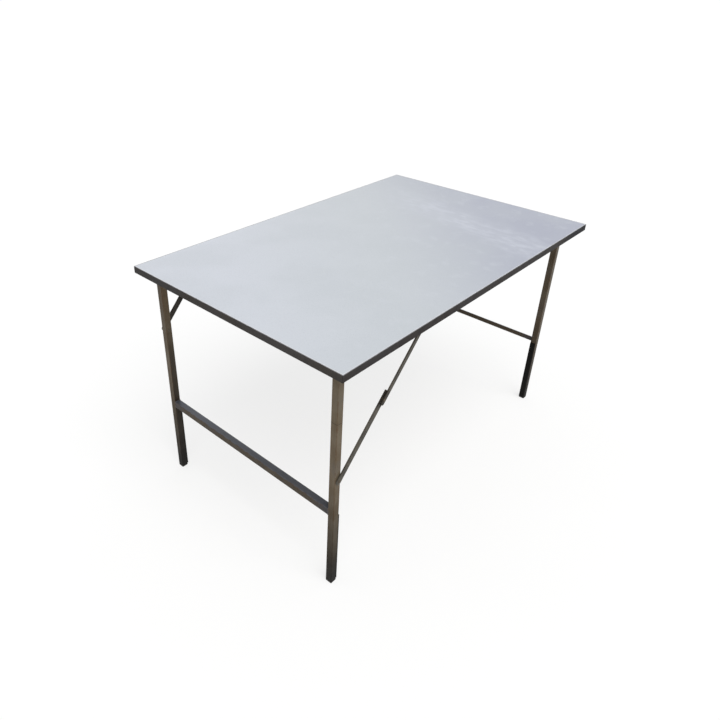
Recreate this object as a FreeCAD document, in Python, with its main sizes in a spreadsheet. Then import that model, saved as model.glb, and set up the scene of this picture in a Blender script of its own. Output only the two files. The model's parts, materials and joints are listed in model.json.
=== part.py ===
import FreeCAD, Part
import math
import os
import re

import Sketcher

# A folding trestle table: a laminated board on two square-tube leg frames that fold flat under it.
# The origin is on the floor under the middle of the top, X runs along the long side and Z points up.
# The wide frame stands at -X. The narrow one stands at +X and folds between the wide one's legs. The
# wide frame's rail is a tube, and the narrow one's is a flat bar.
# A folding stay is two flat links, which lie in one line while the leg stands. The wide frame has a
# long one and a short one, and the narrow frame has a long one.
# All lengths are in millimetres.

SIZES = {
    # Board
    "top_length": 1200,
    "top_width": 760,
    "top_height": 720,
    "core_thick": 18,
    "laminate_thick": 1,
    "backing_thick": 1,
    "edge_thick": 2,
    # Leg frames
    "tube_side": 20,
    "tube_wall": 1.5,
    "tube_corner": 2,
    "wide_inset_x": 38,
    "wide_inset_y": 42,
    "narrow_inset_x": 4,
    "narrow_inset_y": 67,
    "leg_head": 10,
    "rail_below_rivet": 112,
    "flat_rail_height": 16,
    "flat_rail_thick": 3,
    "foot_flange": 4,
    "foot_plug": 18,
    "foot_slack": 0.1,
    "strip_width": 19,
    "strip_thick": 3,
    "strip_end_gap": 2,
    # Leg hinges
    "hinge_drop": 18,
    "hinge_plate": 3,
    "hinge_ear": 12,
    "hinge_flange": 40,
    "hinge_screw_first": 16,
    "hinge_screw_pitch": 16,
    "pivot_dia": 8,
    "pivot_head_dia": 15,
    "pivot_head": 5,
    "pivot_washer": 1,
    "pivot_washer_dia": 16,
    "pivot_tip": 1.5,
    "nut_height": 6.5,
    # Stays: the drop is from the hinge axis to the leg rivet, the reach from it to the bracket rivet
    "long_drop": 314,
    "long_reach": 292,
    "short_drop": 162,
    "short_reach": 147,
    "lower_width": 16,
    "upper_width": 12,
    "link_thick": 4,
    "link_tail": 1,
    "lower_lap": 24,
    "lower_clip": 12,
    "upper_lap": 9,
    "leg_washer": 0.8,
    "knuckle_washer": 1,
    "washer_dia": 12,
    "rivet_dia": 6,
    "rivet_head_dia": 11,
    "rivet_head": 2,
    "closing_head_dia": 9,
    "closing_head": 0.8,
    # Stay brackets
    "bracket_plate": 3,
    "bracket_ear": 9,
    "bracket_length": 44,
    "bracket_flange": 22,
    "bracket_screw_pitch": 28,
    "bracket_screw_out": 13,
    # Wood screws
    "screw_dia": 3.5,
    "screw_grip": 14,
    "screw_head_dia": 7.5,
    "screw_head": 2.2,
    "pilot_spare": 1,
    # Radial clearance of every pin in its hole, and the gap between flat faces that turn on each other
    "fit": 0.05,
    "running_gap": 0.2,
}

FRAME_SIDE = {"wide": -1, "narrow": 1}
LEG_SIDE = {"near": -1, "far": 1}
LEGS = [(frame, leg) for frame in FRAME_SIDE for leg in LEG_SIDE]
STAY_OF_LEG = {
    ("wide", "near"): "long",
    ("wide", "far"): "short",
    ("narrow", "far"): "long",
}

# Heights
BOARD = "(laminate_thick + core_thick + backing_thick)"
UNDERSIDE = f"(top_height - {BOARD})"
AXIS = f"({UNDERSIDE} - hinge_drop)"
RAIL = f"({AXIS} - long_drop - rail_below_rivet)"
RAIL_BOTTOM = {
    "wide": f"({RAIL} - tube_side / 2)",
    "narrow": f"({RAIL} - flat_rail_height / 2)",
}
# Layers beside a leg, as distances outward from its outer face
LOWER_IN = "(leg_washer + running_gap)"
LOWER_OUT = f"({LOWER_IN} + link_thick)"
UPPER_IN = f"({LOWER_OUT} + knuckle_washer + running_gap)"
UPPER_OUT = f"({UPPER_IN} + link_thick)"
TAB_IN = f"({UPPER_OUT} + running_gap)"
TAB_OUT = f"({TAB_IN} + bracket_plate)"
EAR_OUT = "(-tube_side - running_gap - pivot_washer)"
EAR_IN = f"({EAR_OUT} - hinge_plate)"
HINGE_SCREW_ROWS = ("hinge_screw_first", "(hinge_screw_first + hinge_screw_pitch)")
# Hole diameters
RIVET_HOLE = "(rivet_dia + 2 * fit)"
PIVOT_HOLE = "(pivot_dia + 2 * fit)"
SCREW_HOLE = "(screw_dia + 2 * fit)"

doc = FreeCAD.newDocument("FoldingTrestleTable")
nodes = []


def make_sheet():
    sheet = doc.addObject("Spreadsheet::Sheet", "Sizes")
    for row, (alias, value) in enumerate(SIZES.items(), start=1):
        sheet.set(f"A{row}", alias)
        sheet.set(f"B{row}", str(value))
        sheet.setAlias(f"B{row}", alias)
    doc.recompute()


def sized(text):
    """The expression with every size name led by its sheet."""
    return re.sub(r"[a-z_]+", lambda word: f"Sizes.{word[0]}" if word[0] in SIZES else word[0], text)


def bind(thing, path, text):
    thing.setExpression(path, sized(text))


def move(thing, x, y, z):
    for axis, text in zip("xyz", (x, y, z)):
        bind(thing, f".Placement.Base.{axis}", text)


def name_node(thing, label):
    thing.Label = label
    nodes.append(thing)
    return thing


# Places

def leg_x(frame):
    return f"({FRAME_SIDE[frame]} * (top_length / 2 - {frame}_inset_x - tube_side / 2))"


def beside_leg(frame, leg, out):
    """Y at a distance outward from the outer face of a leg."""
    return f"({LEG_SIDE[leg]} * (top_width / 2 - {frame}_inset_y + {out}))"


def span(kind):
    return f"sqrt({kind}_drop^2 + {kind}_reach^2)"


def lower_length(kind):
    """Links of these two lengths lie in one line at rest and on each other when the leg is folded."""
    return f"(({span(kind)} + {kind}_drop - {kind}_reach) / 2)"


def upper_length(kind):
    return f"(({span(kind)} - {kind}_drop + {kind}_reach) / 2)"


def leg_pivot(frame, kind):
    return leg_x(frame), f"({AXIS} - {kind}_drop)"


def knuckle(frame, kind):
    along = f"{lower_length(kind)} / {span(kind)}"
    x = f"({leg_x(frame)} - {FRAME_SIDE[frame]} * {kind}_reach * {along})"
    return x, f"({AXIS} - {kind}_drop + {kind}_drop * {along})"


def bracket_pivot(frame, kind):
    return f"({leg_x(frame)} - {FRAME_SIDE[frame]} * {kind}_reach)", AXIS


def hinge_screws(frame, leg):
    return [(leg_x(frame), beside_leg(frame, leg, f"{EAR_OUT} - {row}")) for row in HINGE_SCREW_ROWS]


def bracket_screws(frame, leg):
    middle = bracket_pivot(frame, STAY_OF_LEG[frame, leg])[0]
    y = beside_leg(frame, leg, f"{TAB_IN} + bracket_screw_out")
    return [(f"({middle} + {side} * bracket_screw_pitch / 2)", y) for side in (-1, 1)]


# Bodies and sketches

def new_body(label):
    return name_node(doc.addObject("PartDesign::Body", label), label)


def new_sketch(body, role):
    sketch = body.newObject("Sketcher::SketchObject", "Sketch")
    plane = next(feature for feature in body.Origin.OriginFeatures if feature.Role == role)
    sketch.AttachmentSupport = [(plane, "")]
    sketch.MapMode = "FlatFace"
    return sketch


def join(sketch, kind, *places):
    sketch.addConstraint(Sketcher.Constraint(kind, *places))


def dimension(sketch, kind, places, start, text):
    index = sketch.addConstraint(Sketcher.Constraint(kind, *places, float(start)))
    bind(sketch, f"Constraints[{index}]", text)


def draw_rectangle(sketch, left, right, bottom, top):
    corners = [FreeCAD.Vector(x, y) for x, y in ((-1, -1), (1, -1), (1, 1), (-1, 1))]
    edges = [Part.LineSegment(corners[i], corners[(i + 1) % 4]) for i in range(4)]
    first = sketch.addGeometry(edges)[0]
    for i in range(4):
        join(sketch, "Coincident", first + i, 2, first + (i + 1) % 4, 1)
        join(sketch, "Vertical" if i % 2 else "Horizontal", first + i)
    dimension(sketch, "DistanceX", (-1, 1, first, 1), -1, left)
    dimension(sketch, "DistanceX", (-1, 1, first + 1, 1), 1, right)
    dimension(sketch, "DistanceY", (-1, 1, first, 1), -1, bottom)
    dimension(sketch, "DistanceY", (-1, 1, first + 2, 1), 1, top)


def draw_square(sketch, side):
    draw_rectangle(sketch, f"-({side}) / 2", f"({side}) / 2", f"-({side}) / 2", f"({side}) / 2")


def draw_circle(sketch, x, y, diameter):
    index = sketch.addGeometry(Part.Circle(FreeCAD.Vector(1, 1), FreeCAD.Vector(0, 0, 1), 1))
    dimension(sketch, "DistanceX", (-1, 1, index, 3), 1, x)
    dimension(sketch, "DistanceY", (-1, 1, index, 3), 1, y)
    dimension(sketch, "Diameter", (index,), 2, diameter)


def draw_slot(sketch, left, right, width):
    """A bar with round ends on the sketch's X axis, between two end centres."""
    start, half = 20, 5
    normal = FreeCAD.Vector(0, 0, 1)
    ends = [Part.Circle(FreeCAD.Vector(side * start, 0), normal, half) for side in (-1, 1)]
    sketch.addGeometry([
        Part.ArcOfCircle(ends[0], math.pi / 2, 3 * math.pi / 2),
        Part.LineSegment(FreeCAD.Vector(-start, -half), FreeCAD.Vector(start, -half)),
        Part.ArcOfCircle(ends[1], -math.pi / 2, math.pi / 2),
        Part.LineSegment(FreeCAD.Vector(start, half), FreeCAD.Vector(-start, half)),
    ])
    for i in range(4):
        join(sketch, "Tangent", i, 2, (i + 1) % 4, 1)
    join(sketch, "Equal", 0, 2)
    for arc in (0, 2):
        join(sketch, "PointOnObject", arc, 3, -1)
    dimension(sketch, "DistanceX", (-1, 1, 0, 3), -start, left)
    dimension(sketch, "DistanceX", (-1, 1, 2, 3), start, right)
    dimension(sketch, "Radius", (0,), half, f"({width}) / 2")


def draw_clipped_bar(sketch, tail, far_end, width, clip, towards):
    """A bar from a round end by the origin to a square end, whose lower corner is clipped."""
    start, end, half = 5, 20, 4
    first_angle = math.pi / 2 * towards
    circle = Part.Circle(FreeCAD.Vector(-towards * start, 0), FreeCAD.Vector(0, 0, 1), half)
    corners = [(-start, -half), (end - start, -half), (end, 0), (end, half), (-start, half)]
    if towards < 0:
        corners = [(-x, y) for x, y in reversed(corners)]
    points = [FreeCAD.Vector(x, y) for x, y in corners]
    edges = [Part.LineSegment(points[i], points[i + 1]) for i in range(4)]
    sketch.addGeometry([Part.ArcOfCircle(circle, first_angle, first_angle + math.pi)] + edges)
    bottom, bottom_corner, upright = (1, 2, 3) if towards > 0 else (4, 1, 2)
    join(sketch, "Tangent", 0, 2, 1, 1)
    join(sketch, "Tangent", 4, 2, 0, 1)
    for i in (1, 2, 3):
        join(sketch, "Coincident", i, 2, i + 1, 1)
    for level in (1, 4):
        join(sketch, "Horizontal", level)
    join(sketch, "Vertical", upright)
    join(sketch, "PointOnObject", 0, 3, -1)
    join(sketch, "PointOnObject", 2, 2, -1)
    dimension(sketch, "DistanceX", (-1, 1, 0, 3), -towards * start, f"{-towards} * {tail}")
    dimension(sketch, "DistanceX", (-1, 1, 2, 2), towards * end, f"{towards} * {far_end}")
    dimension(sketch, "DistanceX", (-1, 1, bottom, bottom_corner), towards * (end - start),
              f"{towards} * ({far_end} - {clip})")
    dimension(sketch, "Radius", (0,), half, f"({width}) / 2")


def draw_ear(sketch, radius, top):
    """A plate that hangs from its straight top edge and ends in a half circle round the origin."""
    start, height = 5, 10
    circle = Part.Circle(FreeCAD.Vector(0, 0), FreeCAD.Vector(0, 0, 1), start)
    sketch.addGeometry([
        Part.ArcOfCircle(circle, math.pi, 2 * math.pi),
        Part.LineSegment(FreeCAD.Vector(start, 0), FreeCAD.Vector(start, height)),
        Part.LineSegment(FreeCAD.Vector(start, height), FreeCAD.Vector(-start, height)),
        Part.LineSegment(FreeCAD.Vector(-start, height), FreeCAD.Vector(-start, 0)),
    ])
    join(sketch, "Coincident", 0, 3, -1, 1)
    join(sketch, "Tangent", 0, 2, 1, 1)
    join(sketch, "Coincident", 1, 2, 2, 1)
    join(sketch, "Coincident", 2, 2, 3, 1)
    join(sketch, "Tangent", 3, 2, 0, 1)
    join(sketch, "Horizontal", 2)
    join(sketch, "Vertical", 1)
    join(sketch, "Vertical", 3)
    dimension(sketch, "Radius", (0,), start, radius)
    dimension(sketch, "DistanceY", (-1, 1, 2, 1), height, top)


def pad(body, sketch, length, reverse=False, both=False):
    feature = body.newObject("PartDesign::Pad", "Pad")
    feature.Profile = sketch
    feature.Reversed = reverse
    feature.SideType = "Symmetric" if both else "One side"
    bind(feature, "Length", length)
    return feature


def cut_through(body, sketch):
    feature = body.newObject("PartDesign::Pocket", "Pocket")
    feature.Profile = sketch
    feature.Type = "ThroughAll"
    feature.SideType = "Symmetric"


def round_corners(body, feature, axis, radius):
    """Fillets the outermost edges that run along an axis through the body's origin."""
    doc.recompute()
    along = FreeCAD.Vector(*axis)
    reach = {}
    for index, edge in enumerate(feature.Shape.Edges, start=1):
        if abs(edge.tangentAt(edge.FirstParameter).dot(along)) > 0.999:
            reach[f"Edge{index}"] = edge.CenterOfMass.distanceToLine(FreeCAD.Vector(), along)
    outermost = max(reach.values()) - 0.01
    fillet = body.newObject("PartDesign::Fillet", "Fillet")
    fillet.Base = (feature, [name for name, distance in reach.items() if distance > outermost])
    bind(fillet, "Radius", radius)


# Solids of revolution and fasteners, with their axis along Y towards a side, or along Z

def lay_along_y(thing, side, x, y, z):
    thing.Placement.Rotation = FreeCAD.Rotation(FreeCAD.Vector(1, 0, 0), -90 * side)
    move(thing, x, y, z)
    return thing


def rod(diameter, length):
    thing = doc.addObject("Part::Cylinder", "Rod")
    bind(thing, "Radius", f"{diameter} / 2")
    bind(thing, "Height", length)
    return thing


def dome_radius(diameter, height):
    return f"(({diameter}^2 / 4 + {height}^2) / (2 * {height}))"


def dome(diameter, height):
    """A rivet or screw head: a cap cut from a ball, which starts above the object's own origin."""
    ball = dome_radius(diameter, height)
    thing = doc.addObject("Part::Sphere", "Dome")
    bind(thing, "Radius", ball)
    bind(thing, "Angle1", f"asin(1 - {height} / {ball})")
    return thing


def lay_dome(diameter, height, side, x, y, z):
    sunk = f"({dome_radius(diameter, height)} - {height})"
    return lay_along_y(dome(diameter, height), side, x, f"{y} - {side} * {sunk}", z)


def hexagon(diameter, height):
    thing = doc.addObject("Part::Prism", "Hexagon")
    thing.Polygon = 6
    bind(thing, "Circumradius", f"{diameter} / 2")
    bind(thing, "Height", height)
    return thing


def fuse(pieces):
    thing = doc.addObject("Part::MultiFuse", "Fuse")
    thing.Shapes = pieces
    return thing


def cut(base, tool):
    thing = doc.addObject("Part::Cut", "Cut")
    thing.Base = base
    thing.Tool = tool
    return thing


def washer(diameter, hole, thick, side, x, y, z):
    plate = lay_along_y(rod(diameter, thick), side, x, y, z)
    bore = lay_along_y(rod(hole, thick), side, x, y, z)
    return cut(plate, bore)


def group(label, members):
    thing = doc.addObject("Part::Compound", label)
    thing.Links = members
    return name_node(thing, label)


def box(label, x_size, y_size, z_size, x, y, z):
    """A block centred on x and y that stands on z."""
    thing = name_node(doc.addObject("Part::Box", label), label)
    bind(thing, "Length", x_size)
    bind(thing, "Width", y_size)
    bind(thing, "Height", z_size)
    move(thing, f"{x} - ({x_size}) / 2", f"{y} - ({y_size}) / 2", z)


# Board

def board_sheet(label, thick, z, screw_holes):
    body = new_body(label)
    sketch = new_sketch(body, "XY_Plane")
    half_length = "(top_length / 2 - edge_thick)"
    half_width = "(top_width / 2 - edge_thick)"
    draw_rectangle(sketch, f"-{half_length}", half_length, f"-{half_width}", half_width)
    for x, y in screw_holes:
        draw_circle(sketch, x, y, SCREW_HOLE)
    pad(body, sketch, thick)
    move(body, "0", "0", z)
    return body


def drill_pilots(body, screws):
    sketch = new_sketch(body, "XY_Plane")
    for x, y in screws:
        draw_circle(sketch, x, y, SCREW_HOLE)
    feature = body.newObject("PartDesign::Pocket", "Pilots")
    feature.Profile = sketch
    feature.Reversed = True
    bind(feature, "Length", "screw_grip - backing_thick + pilot_spare")


def make_board(screws):
    core = board_sheet("top_core", "core_thick", f"{UNDERSIDE} + backing_thick", [])
    drill_pilots(core, screws)
    board_sheet("top_laminate", "laminate_thick", "top_height - laminate_thick", [])
    board_sheet("underside_backing", "backing_thick", UNDERSIDE, screws)
    for label, side in (("front", -1), ("back", 1)):
        y = f"{side} * (top_width - edge_thick) / 2"
        box(f"edge_band_{label}", "top_length", "edge_thick", BOARD, "0", y, UNDERSIDE)
    for label, side in (("left", -1), ("right", 1)):
        x = f"{side} * (top_length - edge_thick) / 2"
        box(f"edge_band_{label}", "edge_thick", "top_width - 2 * edge_thick", BOARD, x, "0", UNDERSIDE)


# Leg frames

def draw_tube(sketch):
    draw_square(sketch, "tube_side")
    draw_square(sketch, "tube_side - 2 * tube_wall")


def make_leg(frame, leg):
    body = new_body(f"{frame}_leg_{leg}")
    section = new_sketch(body, "XY_Plane")
    draw_tube(section)
    tube = pad(body, section, f"{AXIS} + leg_head - foot_flange")
    round_corners(body, tube, (0, 0, 1), "tube_corner")
    holes = new_sketch(body, "XZ_Plane")
    draw_circle(holes, "0", f"{AXIS} - foot_flange", PIVOT_HOLE)
    if (frame, leg) in STAY_OF_LEG:
        drop = f"{STAY_OF_LEG[frame, leg]}_drop"
        draw_circle(holes, "0", f"{AXIS} - {drop} - foot_flange", RIVET_HOLE)
    cut_through(body, holes)
    move(body, leg_x(frame), beside_leg(frame, leg, "(-tube_side / 2)"), "foot_flange")


def rail_length(frame):
    return f"(top_width - 2 * {frame}_inset_y - 2 * tube_side)"


def make_tube_rail(frame):
    body = new_body(f"{frame}_rail")
    section = new_sketch(body, "XZ_Plane")
    draw_tube(section)
    tube = pad(body, section, rail_length(frame), both=True)
    round_corners(body, tube, (0, 1, 0), "tube_corner")
    move(body, leg_x(frame), "0", RAIL)


def make_flat_rail(frame):
    """A flat bar on edge, in the middle of the legs' depth and at the height of the tube rail."""
    section = ("flat_rail_thick", rail_length(frame), "flat_rail_height")
    box(f"{frame}_rail", *section, leg_x(frame), "0", RAIL_BOTTOM[frame])


def make_foot(frame, leg):
    body = new_body(f"{frame}_foot_{leg}")
    sole = new_sketch(body, "XY_Plane")
    draw_square(sole, "tube_side")
    flange = pad(body, sole, "foot_flange")
    round_corners(body, flange, (0, 0, 1), "tube_corner")
    inside = new_sketch(body, "XY_Plane")
    draw_square(inside, "tube_side - 2 * tube_wall - 2 * foot_slack")
    pad(body, inside, "foot_flange + foot_plug")
    move(body, leg_x(frame), beside_leg(frame, leg, "(-tube_side / 2)"), "0")


def make_strip(frame, leg):
    x = f"{leg_x(frame)} - {FRAME_SIDE[frame]} * (tube_side + strip_thick) / 2"
    y = beside_leg(frame, leg, "(-tube_side / 2)")
    bottom = "foot_flange + strip_end_gap"
    length = f"{RAIL_BOTTOM[frame]} - foot_flange - 2 * strip_end_gap"
    box(f"{frame}_strip_{leg}", "strip_thick", "strip_width", length, x, y, bottom)


# Hinges

def make_hinge_bracket(frame, leg):
    """An ear beside the leg's inner face, bent over to a flange under the board."""
    inward_is_plus_y = LEG_SIDE[leg] < 0
    body = new_body(f"{frame}_hinge_bracket_{leg}")
    ear = new_sketch(body, "XZ_Plane")
    draw_ear(ear, "hinge_ear", "hinge_drop")
    pad(body, ear, "hinge_plate", reverse=inward_is_plus_y)
    flange = new_sketch(body, "XZ_Plane")
    draw_rectangle(flange, "-hinge_ear", "hinge_ear", "hinge_drop - hinge_plate", "hinge_drop")
    pad(body, flange, "hinge_flange", reverse=inward_is_plus_y)
    bore = new_sketch(body, "XZ_Plane")
    draw_circle(bore, "0", "0", PIVOT_HOLE)
    cut_through(body, bore)
    holes = new_sketch(body, "XY_Plane")
    for row in HINGE_SCREW_ROWS:
        draw_circle(holes, "0", f"{-LEG_SIDE[leg]} * {row}", SCREW_HOLE)
    cut_through(body, holes)
    move(body, leg_x(frame), beside_leg(frame, leg, EAR_OUT), AXIS)


def make_pivot_bolt(frame, leg):
    side = LEG_SIDE[leg]
    x = leg_x(frame)
    seat = beside_leg(frame, leg, "running_gap")
    length = f"(running_gap - {EAR_IN} + nut_height + pivot_tip)"
    shank = lay_along_y(rod("pivot_dia", length), -side, x, seat, AXIS)
    head = lay_along_y(hexagon("pivot_head_dia", "pivot_head"), side, x, seat, AXIS)
    return fuse([shank, head])


def make_pivot_nut(frame, leg):
    place = (-LEG_SIDE[leg], leg_x(frame), beside_leg(frame, leg, EAR_IN), AXIS)
    blank = lay_along_y(hexagon("pivot_head_dia", "nut_height"), *place)
    return cut(blank, lay_along_y(rod(PIVOT_HOLE, "nut_height"), *place))


def make_pivot_washer(frame, leg):
    place = (LEG_SIDE[leg], leg_x(frame), beside_leg(frame, leg, EAR_OUT), AXIS)
    return washer("pivot_washer_dia", PIVOT_HOLE, "pivot_washer", *place)


# Stays

def make_link(label, frame, leg, kind, level, pivot, length, lap, width, towards, clip=None):
    """A flat link drawn from its fixed pivot, inward or outward, and then turned to the stay's slope.
    The clip clears the underside of the top while the leg folds."""
    far_end = f"({length} + {lap})"
    body = new_body(label)
    outline = new_sketch(body, "XZ_Plane")
    if clip:
        draw_clipped_bar(outline, "link_tail", far_end, width, clip, towards)
    elif towards > 0:
        draw_slot(outline, "-link_tail", far_end, width)
    else:
        draw_slot(outline, f"-{far_end}", "link_tail", width)
    pad(body, outline, "link_thick", reverse=LEG_SIDE[leg] > 0)
    holes = new_sketch(body, "XZ_Plane")
    draw_circle(holes, "0", "0", RIVET_HOLE)
    draw_circle(holes, f"{towards} * {length}", "0", RIVET_HOLE)
    cut_through(body, holes)
    turned = FreeCAD.Rotation(FreeCAD.Vector(0, FRAME_SIDE[frame], 0), 45)
    body.Placement = FreeCAD.Placement(FreeCAD.Vector(), turned)
    bind(body, ".Placement.Rotation.Angle", f"atan2({kind}_drop; {kind}_reach)")
    move(body, pivot[0], beside_leg(frame, leg, level), pivot[1])


def make_knuckle(name, frame, leg, kind):
    """The knuckle rivet in two halves: a stud with its washer in the lower link, a head in the upper."""
    side = LEG_SIDE[leg]
    x, z = knuckle(frame, kind)
    start = beside_leg(frame, leg, LOWER_IN)
    stud = lay_along_y(rod("rivet_dia", "link_thick + knuckle_washer"), side, x, start, z)
    name_node(stud, f"{name}_knuckle_stud")
    seat = beside_leg(frame, leg, LOWER_OUT)
    ring = washer("washer_dia", RIVET_HOLE, "knuckle_washer", side, x, seat, z)
    name_node(ring, f"{name}_knuckle_washer")
    shank = lay_along_y(rod("rivet_dia", "link_thick"), side, x, beside_leg(frame, leg, UPPER_IN), z)
    head = lay_dome("rivet_head_dia", "rivet_head", side, x, beside_leg(frame, leg, UPPER_OUT), z)
    name_node(fuse([shank, head]), f"{name}_knuckle_rivet")


def make_stay_bracket(name, frame, leg, kind):
    """A tab outside the upper link, bent over to a flange under the board."""
    outward_is_plus_y = LEG_SIDE[leg] > 0
    x, z = bracket_pivot(frame, kind)
    body = new_body(f"{name}_bracket")
    tab = new_sketch(body, "XZ_Plane")
    draw_ear(tab, "bracket_ear", "hinge_drop")
    pad(body, tab, "bracket_plate", reverse=outward_is_plus_y)
    flange = new_sketch(body, "XZ_Plane")
    half = "bracket_length / 2"
    draw_rectangle(flange, f"-{half}", half, "hinge_drop - bracket_plate", "hinge_drop")
    pad(body, flange, "bracket_flange", reverse=outward_is_plus_y)
    bore = new_sketch(body, "XZ_Plane")
    draw_circle(bore, "0", "0", RIVET_HOLE)
    cut_through(body, bore)
    holes = new_sketch(body, "XY_Plane")
    for end in (-1, 1):
        row = f"{LEG_SIDE[leg]} * bracket_screw_out"
        draw_circle(holes, f"{end} * bracket_screw_pitch / 2", row, SCREW_HOLE)
    cut_through(body, holes)
    move(body, x, beside_leg(frame, leg, TAB_IN), z)


def make_stay(frame, leg):
    kind = STAY_OF_LEG[frame, leg]
    name = f"{frame}_{kind}"
    inward = -FRAME_SIDE[frame]
    make_link(f"{name}_lower_link", frame, leg, kind, LOWER_IN, leg_pivot(frame, kind),
              lower_length(kind), "lower_lap", "lower_width", inward, "lower_clip")
    make_link(f"{name}_upper_link", frame, leg, kind, UPPER_IN, bracket_pivot(frame, kind),
              upper_length(kind), "upper_lap", "upper_width", -inward)
    make_knuckle(name, frame, leg, kind)
    make_stay_bracket(name, frame, leg, kind)


def make_leg_rivet(frame, leg):
    side = LEG_SIDE[leg]
    x, z = leg_pivot(frame, STAY_OF_LEG[frame, leg])
    inner = beside_leg(frame, leg, "(-tube_side)")
    outer = beside_leg(frame, leg, f"{LOWER_OUT} + running_gap")
    shank = lay_along_y(rod("rivet_dia", f"tube_side + {LOWER_OUT} + running_gap"), side, x, inner, z)
    outer_head = lay_dome("rivet_head_dia", "rivet_head", side, x, outer, z)
    inner_head = lay_dome("closing_head_dia", "closing_head", -side, x, inner, z)
    return fuse([shank, outer_head, inner_head])


def make_leg_washer(frame, leg):
    x, z = leg_pivot(frame, STAY_OF_LEG[frame, leg])
    face = beside_leg(frame, leg, "0")
    return washer("washer_dia", RIVET_HOLE, "leg_washer", LEG_SIDE[leg], x, face, z)


def make_bracket_rivet(frame, leg):
    side = LEG_SIDE[leg]
    x, z = bracket_pivot(frame, STAY_OF_LEG[frame, leg])
    start = beside_leg(frame, leg, UPPER_IN)
    shank = lay_along_y(rod("rivet_dia", f"{TAB_OUT} - {UPPER_IN}"), side, x, start, z)
    head = lay_dome("rivet_head_dia", "rivet_head", side, x, beside_leg(frame, leg, TAB_OUT), z)
    return fuse([shank, head])


def make_screw(x, y, plate):
    seat = f"({UNDERSIDE} - {plate})"
    shank = rod("screw_dia", f"{plate} + screw_grip")
    move(shank, x, y, seat)
    head = dome("screw_head_dia", "screw_head")
    head.Placement.Rotation = FreeCAD.Rotation(FreeCAD.Vector(1, 0, 0), 180)
    sunk = f"({dome_radius('screw_head_dia', 'screw_head')} - screw_head)"
    move(head, x, y, f"{seat} + {sunk}")
    return fuse([shank, head])


def make_table():
    make_sheet()
    hinge_places = [place for at in LEGS for place in hinge_screws(*at)]
    bracket_places = [place for at in STAY_OF_LEG for place in bracket_screws(*at)]
    make_board(hinge_places + bracket_places)
    make_tube_rail("wide")
    make_flat_rail("narrow")
    for at in LEGS:
        make_leg(*at)
        make_foot(*at)
        make_strip(*at)
        make_hinge_bracket(*at)
    for at in STAY_OF_LEG:
        make_stay(*at)
    for frame in FRAME_SIDE:
        braced = [at for at in STAY_OF_LEG if at[0] == frame]
        group(f"{frame}_leg_rivets", [make_leg_rivet(*at) for at in braced])
        group(f"{frame}_leg_washers", [make_leg_washer(*at) for at in braced])
    group("pivot_bolts", [make_pivot_bolt(*at) for at in LEGS])
    group("pivot_nuts", [make_pivot_nut(*at) for at in LEGS])
    group("pivot_washers", [make_pivot_washer(*at) for at in LEGS])
    group("bracket_rivets", [make_bracket_rivet(*at) for at in STAY_OF_LEG])
    screws = [make_screw(x, y, "hinge_plate") for x, y in hinge_places]
    screws += [make_screw(x, y, "bracket_plate") for x, y in bracket_places]
    group("wood_screws", screws)
    doc.recompute()


def check_and_write():
    for thing in doc.Objects:
        if {"Invalid", "Error"} & set(thing.State):
            raise RuntimeError(f"{thing.Label} failed: {thing.State}")
    for node in nodes:
        if node.Shape.isNull() or not node.Shape.isValid() or not node.Shape.Solids:
            raise RuntimeError(f"{node.Label} has no valid solid")
    os.makedirs("parts", exist_ok=True)
    for node in nodes:
        node.Shape.exportStep(f"parts/{node.Label}.step")
    print(len(nodes), "nodes,", sum(len(node.Shape.Solids) for node in nodes), "solids")


make_table()
check_and_write()
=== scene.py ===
import json
import math

import bmesh
import bpy
from mathutils import Matrix, Quaternion, Vector


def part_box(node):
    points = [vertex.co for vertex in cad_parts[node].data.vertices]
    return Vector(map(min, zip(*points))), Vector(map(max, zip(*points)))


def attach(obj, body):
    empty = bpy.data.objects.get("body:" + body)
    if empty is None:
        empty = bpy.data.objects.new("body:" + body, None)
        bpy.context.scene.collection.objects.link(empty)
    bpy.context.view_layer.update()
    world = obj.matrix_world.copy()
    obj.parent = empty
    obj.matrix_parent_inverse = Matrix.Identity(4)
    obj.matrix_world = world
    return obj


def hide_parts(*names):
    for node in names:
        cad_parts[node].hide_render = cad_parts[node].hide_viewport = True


# The looks of a folding trestle table: a grey laminated top on two frames of square steel tube,
# held open by folding stays. Lengths are in metres, in the frame of the solids: X runs along the
# long side, Z points up and the origin is on the floor under the middle of the top.

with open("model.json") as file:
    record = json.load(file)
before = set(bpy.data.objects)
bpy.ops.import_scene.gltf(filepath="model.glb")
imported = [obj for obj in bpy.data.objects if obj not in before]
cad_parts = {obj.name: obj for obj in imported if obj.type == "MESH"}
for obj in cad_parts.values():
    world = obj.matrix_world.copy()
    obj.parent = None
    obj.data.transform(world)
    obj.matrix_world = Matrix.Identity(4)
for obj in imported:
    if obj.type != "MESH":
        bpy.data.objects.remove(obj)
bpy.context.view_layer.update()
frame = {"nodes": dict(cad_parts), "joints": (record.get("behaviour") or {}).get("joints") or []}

MM = 0.001
X, Y, Z = 0, 1, 2
FRAMES = {"wide": 1, "narrow": -1}          # the way along X in which each leg frame folds
LEGS = {"near": -1, "far": 1}               # the side of each leg along Y
STAYS = {"wide_long": "near", "wide_short": "far", "narrow_long": "far"}        # the leg that each is on
JOINTS = {joint["name"]: Vector(joint["pos_m"]) for joint in frame["joints"]}

# The photo's view: the picture is square, and its lens axis meets it off its middle
PICTURE = 720
LENS_AXIS_PIXEL = (311.0, 333.4)
FOCAL_PIXELS = 637.1
SENSOR_MM = 36
CAMERA_PLACE = Vector((-1.4328, -1.0657, 1.4614))
CAMERA_YAW = math.radians(43.01)
CAMERA_PITCH = math.radians(30.78)
CAMERA_ROLL = math.radians(-0.67)

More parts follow.
